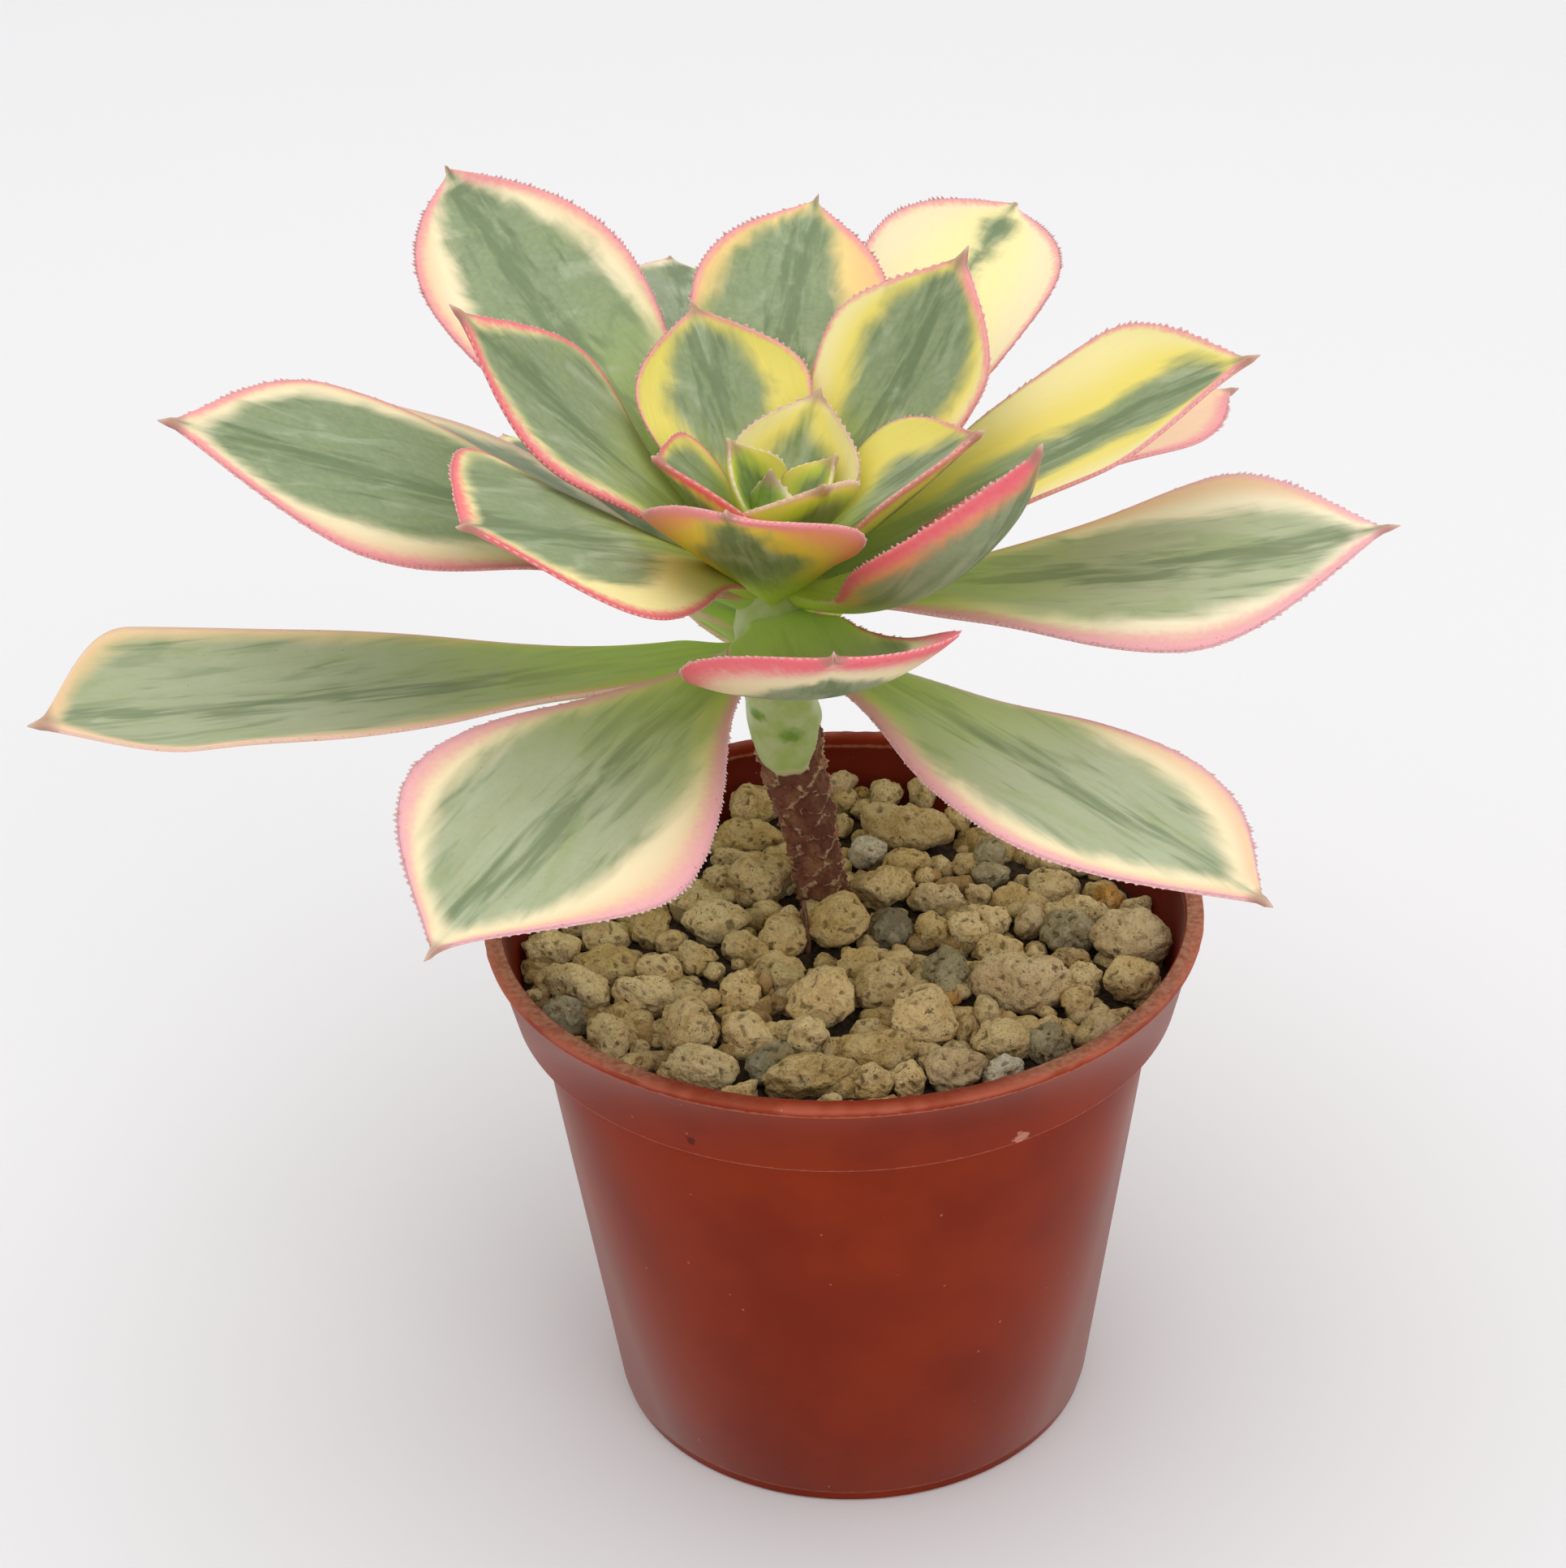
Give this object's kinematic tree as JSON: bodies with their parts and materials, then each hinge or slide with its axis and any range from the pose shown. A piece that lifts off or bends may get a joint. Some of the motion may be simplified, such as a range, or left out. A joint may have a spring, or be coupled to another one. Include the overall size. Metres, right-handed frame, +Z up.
{
  "type": "potted aeonium",
  "caption": "Variegated succulent rosette on a short woody stem, standing in a small round nursery pot filled with pumice gravel.",
  "frame": {"origin": "centre of the pot's underside", "axes": "+Z up the pot's axis; the picture looks along +Y, with +X to its right"},
  "size_m": [0.1472, 0.1472, 0.1383],
  "materials": {
    "pot_plastic": "moulded red-brown polypropylene, satin with a dusty haze",
    "pumice": "dry rough pumice gravel",
    "stem_bark": "scaly brown bark below, smooth green above",
    "dry_twig": "dry brown twig",
    "leaf_young": "young succulent leaf, waxy, green centre and yellow margins with a pink edge",
    "leaf_old": "old succulent leaf, waxy, grey-green centre and cream margins with a pink edge"
  },
  "bodies": {
    "root": {"pot": "pot_plastic", "gravel": "pumice", "stem": "stem_bark", "twig": "dry_twig", "leaf_01": "leaf_young", "leaf_02": "leaf_young", "leaf_03": "leaf_young", "leaf_04": "leaf_young", "leaf_05": "leaf_young", "leaf_06": "leaf_young", "leaf_07": "leaf_young", "leaf_08": "leaf_young", "leaf_09": "leaf_old", "leaf_10": "leaf_old", "leaf_11": "leaf_old", "leaf_12": "leaf_old", "leaf_13": "leaf_old", "leaf_14": "leaf_old", "leaf_15": "leaf_old", "leaf_16": "leaf_old", "leaf_17": "leaf_old", "leaf_18": "leaf_old", "leaf_19": "leaf_old", "leaf_20": "leaf_old", "leaf_21": "leaf_old", "leaf_22": "leaf_old", "leaf_23": "leaf_old", "leaf_24": "leaf_old", "leaf_26": "leaf_old", "heart": "leaf_young"}
  },
  "joints": []
}
